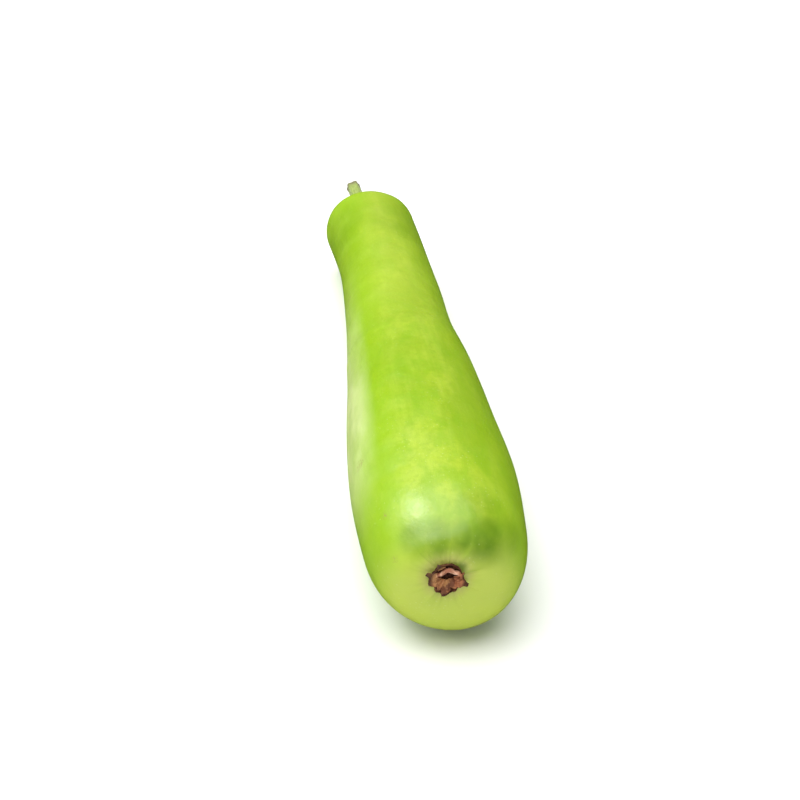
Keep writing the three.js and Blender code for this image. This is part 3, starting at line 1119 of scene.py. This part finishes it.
class GourdStemMaker(bpy.types.Operator):
    """Model the cut stem and give it its green fibres"""

    bl_idname = "gourd.stem"
    bl_label = "Stem"

    def execute(self, context):
        scene = context.scene
        dress(stem_piece(scene.gourd_sizes), stalk_finish(scene.gourd_colours))
        return {"FINISHED"}


class GourdFlowerMaker(bpy.types.Operator):
    """Model the dry flower with its papery petals"""

    bl_idname = "gourd.dry_flower"
    bl_label = "Dry flower"

    def execute(self, context):
        scene = context.scene
        dress(dry_flower_piece(scene.gourd_sizes), dry_flower_finish(scene.gourd_colours))
        dress(dry_petals_piece(), dry_petals_finish(scene.gourd_colours))
        return {"FINISHED"}


class GourdStudioMaker(bpy.types.Operator):
    """Set up the floor, the soft lights and the camera"""

    bl_idname = "gourd.studio"
    bl_label = "Studio"

    def softbox(self, name, place, target, size, watts):
        bpy.ops.object.light_add(type="AREA", location=place)
        lamp = bpy.context.object
        lamp.name = name
        lamp.data.shape = "RECTANGLE"
        lamp.data.size, lamp.data.size_y = size
        lamp.data.energy = watts
        towards = Vector(target) - Vector(place)
        lamp.rotation_euler = towards.to_track_quat("-Z", "Y").to_euler()
        return lamp

    def execute(self, context):
        studio = context.scene.gourd_studio
        clear_selection()
        bpy.ops.mesh.primitive_plane_add(size=studio.floor_size, location=FLOOR_PLACE)
        floor = bpy.context.object
        floor.name = floor.data.name = "floor"
        bpy.ops.object.transform_apply(location=True, rotation=True, scale=True)
        paper = bpy.data.materials.new("white_paper")
        paper.use_nodes = True
        surface = paper.node_tree.nodes["Principled BSDF"]
        surface.inputs["Base Color"].default_value = FLOOR_COLOUR
        surface.inputs["Roughness"].default_value = FLOOR_ROUGHNESS
        dress(floor, paper)

        world = bpy.data.worlds.new("white_room")
        world.use_nodes = True
        background = world.node_tree.nodes["Background"]
        background.inputs["Color"].default_value = (1, 1, 1, 1)
        background.inputs["Strength"].default_value = studio.sky
        context.scene.world = world

        # A white floor and a white room mirrored in the skin would bleach its edges.
        floor.visible_glossy = False
        world.cycles_visibility.glossy = False

        # The key light gives the highlight above the scar, and no shadow of its own.
        lamps = {name: self.softbox(name, *setting) for name, setting in SOFTBOXES.items()}
        lamps["key"].visible_diffuse = False

        bpy.ops.object.camera_add(
            location=studio.camera_place,
            rotation=(math.pi / 2 - studio.look_down, 0, -studio.heading),
        )
        camera = bpy.context.object
        camera.name = "camera"
        camera.data.lens = studio.lens
        camera.data.sensor_width = SENSOR_WIDTH
        context.scene.camera = camera
        context.scene.view_settings.view_transform = "Standard"
        return {"FINISHED"}


class GourdPanel(bpy.types.Panel):
    """Lists what makes the gourd's pieces and its studio, with their settings"""

    bl_idname = "VIEW3D_PT_gourd"
    bl_label = "Bottle gourd"
    bl_space_type = "VIEW_3D"
    bl_region_type = "UI"
    bl_category = "Gourd"

    def draw(self, context):
        scene = context.scene
        for maker in MAKERS:
            self.layout.operator(maker.bl_idname)
        for group in (scene.gourd_sizes, scene.gourd_colours, scene.gourd_studio):
            for name in group.bl_rna.properties.keys():
                if name not in ("rna_type", "name"):
                    self.layout.prop(group, name)


GROUPS = {"gourd_sizes": GourdSizes, "gourd_colours": GourdColours, "gourd_studio": GourdStudio}
MAKERS = (GourdFruitMaker, GourdStemMaker, GourdFlowerMaker, GourdStudioMaker)


def register():
    for kind in (*GROUPS.values(), *MAKERS, GourdPanel):
        bpy.utils.register_class(kind)
    for name, group in GROUPS.items():
        setattr(bpy.types.Scene, name, bpy.props.PointerProperty(type=group))


def unregister():
    for name in GROUPS:
        delattr(bpy.types.Scene, name)
    for kind in reversed((*GROUPS.values(), *MAKERS, GourdPanel)):
        bpy.utils.unregister_class(kind)


def main():
    register()
    bpy.ops.gourd.fruit()
    bpy.ops.gourd.stem()
    bpy.ops.gourd.dry_flower()
    bpy.ops.gourd.studio()


if __name__ == "__main__":
    main()
